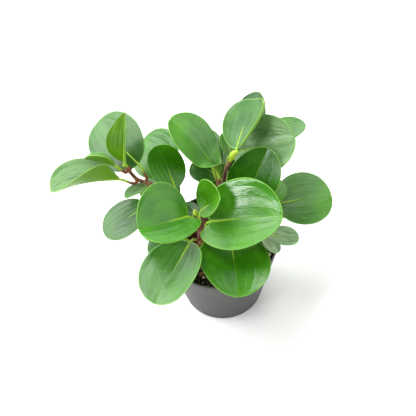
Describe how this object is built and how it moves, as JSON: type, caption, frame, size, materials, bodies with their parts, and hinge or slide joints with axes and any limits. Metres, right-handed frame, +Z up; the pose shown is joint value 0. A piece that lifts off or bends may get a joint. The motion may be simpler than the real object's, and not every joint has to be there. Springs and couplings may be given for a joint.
{
  "type": "potted baby rubber plant",
  "caption": "Small peperomia-type houseplant with round glossy green leaves on short branching stems, growing in soil in a plain tapered grey nursery pot.",
  "frame": {"origin": "the middle of the pot's flat base, on the surface it stands on", "axes": "+Z up, the pot's axis; +X to the right and +Y away from someone who looks at the plant's front"},
  "size_m": [0.241, 0.1907, 0.2101],
  "materials": {
    "pot_plastic": "satin moulded plastic",
    "potting_soil": "rough crumbly",
    "stem": "smooth living stem",
    "leaf": "glossy thick leaf",
    "young_leaf": "soft sheen"
  },
  "bodies": {
    "root": {"pot": "pot_plastic", "soil": "potting_soil", "stem_front": "stem", "stem_left": "stem", "stem_middle": "stem", "stem_rear": "stem", "stem_right": "stem", "leaf_front_1": "leaf", "leaf_front_2": "leaf", "leaf_front_3": "leaf", "leaf_front_4": "leaf", "leaf_front_5": "leaf", "leaf_front_6": "leaf", "leaf_front_7": "leaf", "leaf_front_8": "leaf", "leaf_front_9": "leaf", "leaf_left_1": "leaf", "leaf_left_10": "leaf", "leaf_left_2": "leaf", "leaf_left_3": "young_leaf", "leaf_left_4": "young_leaf", "leaf_left_5": "leaf", "leaf_left_6": "leaf", "leaf_left_7": "leaf", "leaf_left_8": "leaf", "leaf_left_9": "leaf", "leaf_middle_1": "leaf", "leaf_middle_2": "leaf", "leaf_middle_3": "leaf", "leaf_middle_4": "leaf", "leaf_middle_5": "young_leaf", "leaf_middle_6": "leaf", "leaf_middle_7": "leaf", "leaf_middle_8": "leaf", "leaf_rear_1": "leaf", "leaf_rear_2": "leaf", "leaf_rear_3": "leaf", "leaf_rear_4": "leaf", "leaf_rear_5": "leaf", "leaf_rear_6": "leaf", "leaf_right_1": "leaf", "leaf_right_2": "leaf", "leaf_right_3": "leaf", "leaf_right_4": "leaf", "leaf_right_5": "leaf", "leaf_right_6": "leaf", "bud_front": "young_leaf", "bud_left": "young_leaf", "bud_middle": "young_leaf", "bud_rear": "young_leaf", "bud_right": "young_leaf"}
  },
  "joints": []
}
